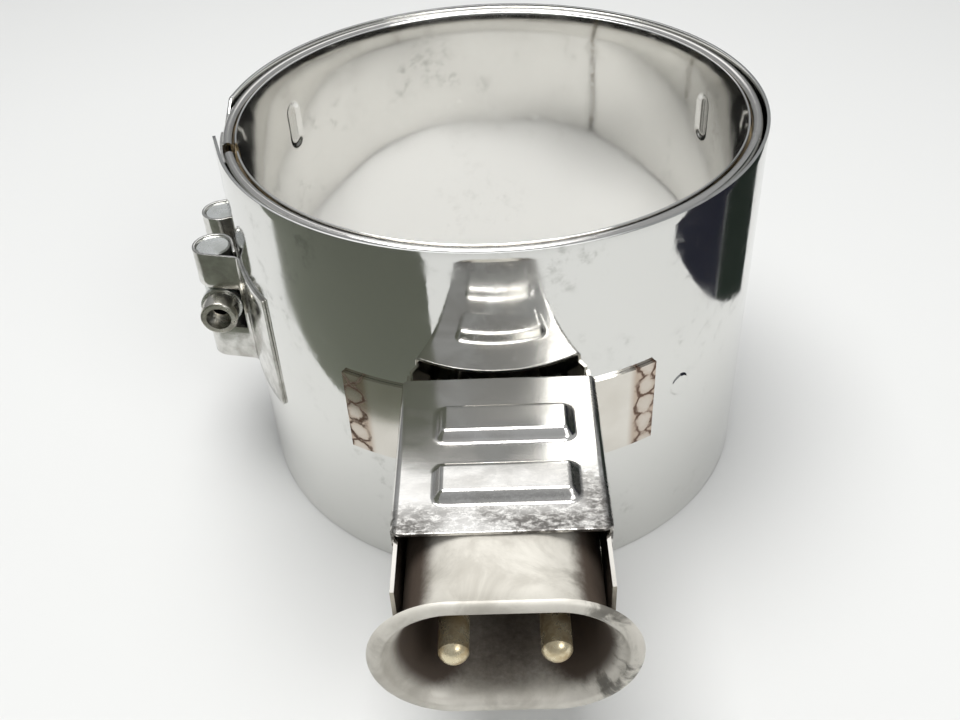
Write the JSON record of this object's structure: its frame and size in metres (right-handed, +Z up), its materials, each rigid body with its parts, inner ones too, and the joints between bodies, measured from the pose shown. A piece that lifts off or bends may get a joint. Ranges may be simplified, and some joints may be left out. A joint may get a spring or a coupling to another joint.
{
  "type": "band heater",
  "caption": "Round sheathed band heater with a wide clamping strap, barrel-and-screw clamp and a boxed side terminal ending in an oval plug inlet with domed contact pins.",
  "frame": {"origin": "on the axis of the bore, halfway between the two rims", "axes": "+Z up along the bore axis; the terminal box and its plug leave the band along -Y; the clamp is at the left, close to -X"},
  "size_m": [0.1533, 0.2067, 0.101],
  "materials": {
    "polished_stainless": "polished",
    "mica": "matt",
    "ribbon_alloy": "satin",
    "mirror_strap": "mirror polished",
    "lug_steel": "satin",
    "zinc_plated": "satin",
    "box_stainless": "satin",
    "cast_aluminium": "matt cast",
    "ceramic": "matt",
    "plated_brass": "satin",
    "nickel_parts": "satin",
    "steatite": "matt"
  },
  "bodies": {
    "heater": {"inner_sheath": "polished_stainless", "mica_inner": "mica", "mica_core": "mica", "resistance_ribbon": "ribbon_alloy", "mica_outer": "mica", "outer_casing": "polished_stainless", "clamp_strap": "mirror_strap", "front_lug": "lug_steel", "rear_lug": "lug_steel", "front_barrel": "zinc_plated", "rear_barrel": "zinc_plated", "terminal_channel": "box_stainless", "hood_cover": "box_stainless", "hood_rivets": "box_stainless", "plug_shell": "cast_aluminium", "plug_insulator": "ceramic", "contact_pin_left": "plated_brass", "contact_pin_right": "plated_brass", "pin_washers": "nickel_parts", "pin_nuts": "nickel_parts", "right_lead": "nickel_parts", "left_lead": "nickel_parts", "lead_sleeves": "steatite"},
    "washer": {"screw_washer": "zinc_plated"},
    "screw": {"clamp_screw": "zinc_plated"}
  },
  "joints": [
    {"name": "screw_travel", "type": "slide", "parent": "heater", "child": "washer", "axis": [0.0523, -0.9986, 0], "range_m": [0, 0.015]},
    {"name": "screw_turn", "type": "hinge", "parent": "washer", "child": "screw", "pos_m": [-0.07679, -0.00402, 0.0022], "axis": [0.0523, -0.9986, 0], "range_deg": [0, 5400.01]}
  ],
  "couplings": [
    {"joint": "screw_turn", "follows": "screw_travel", "rad_per_m": 6283.2}
  ]
}
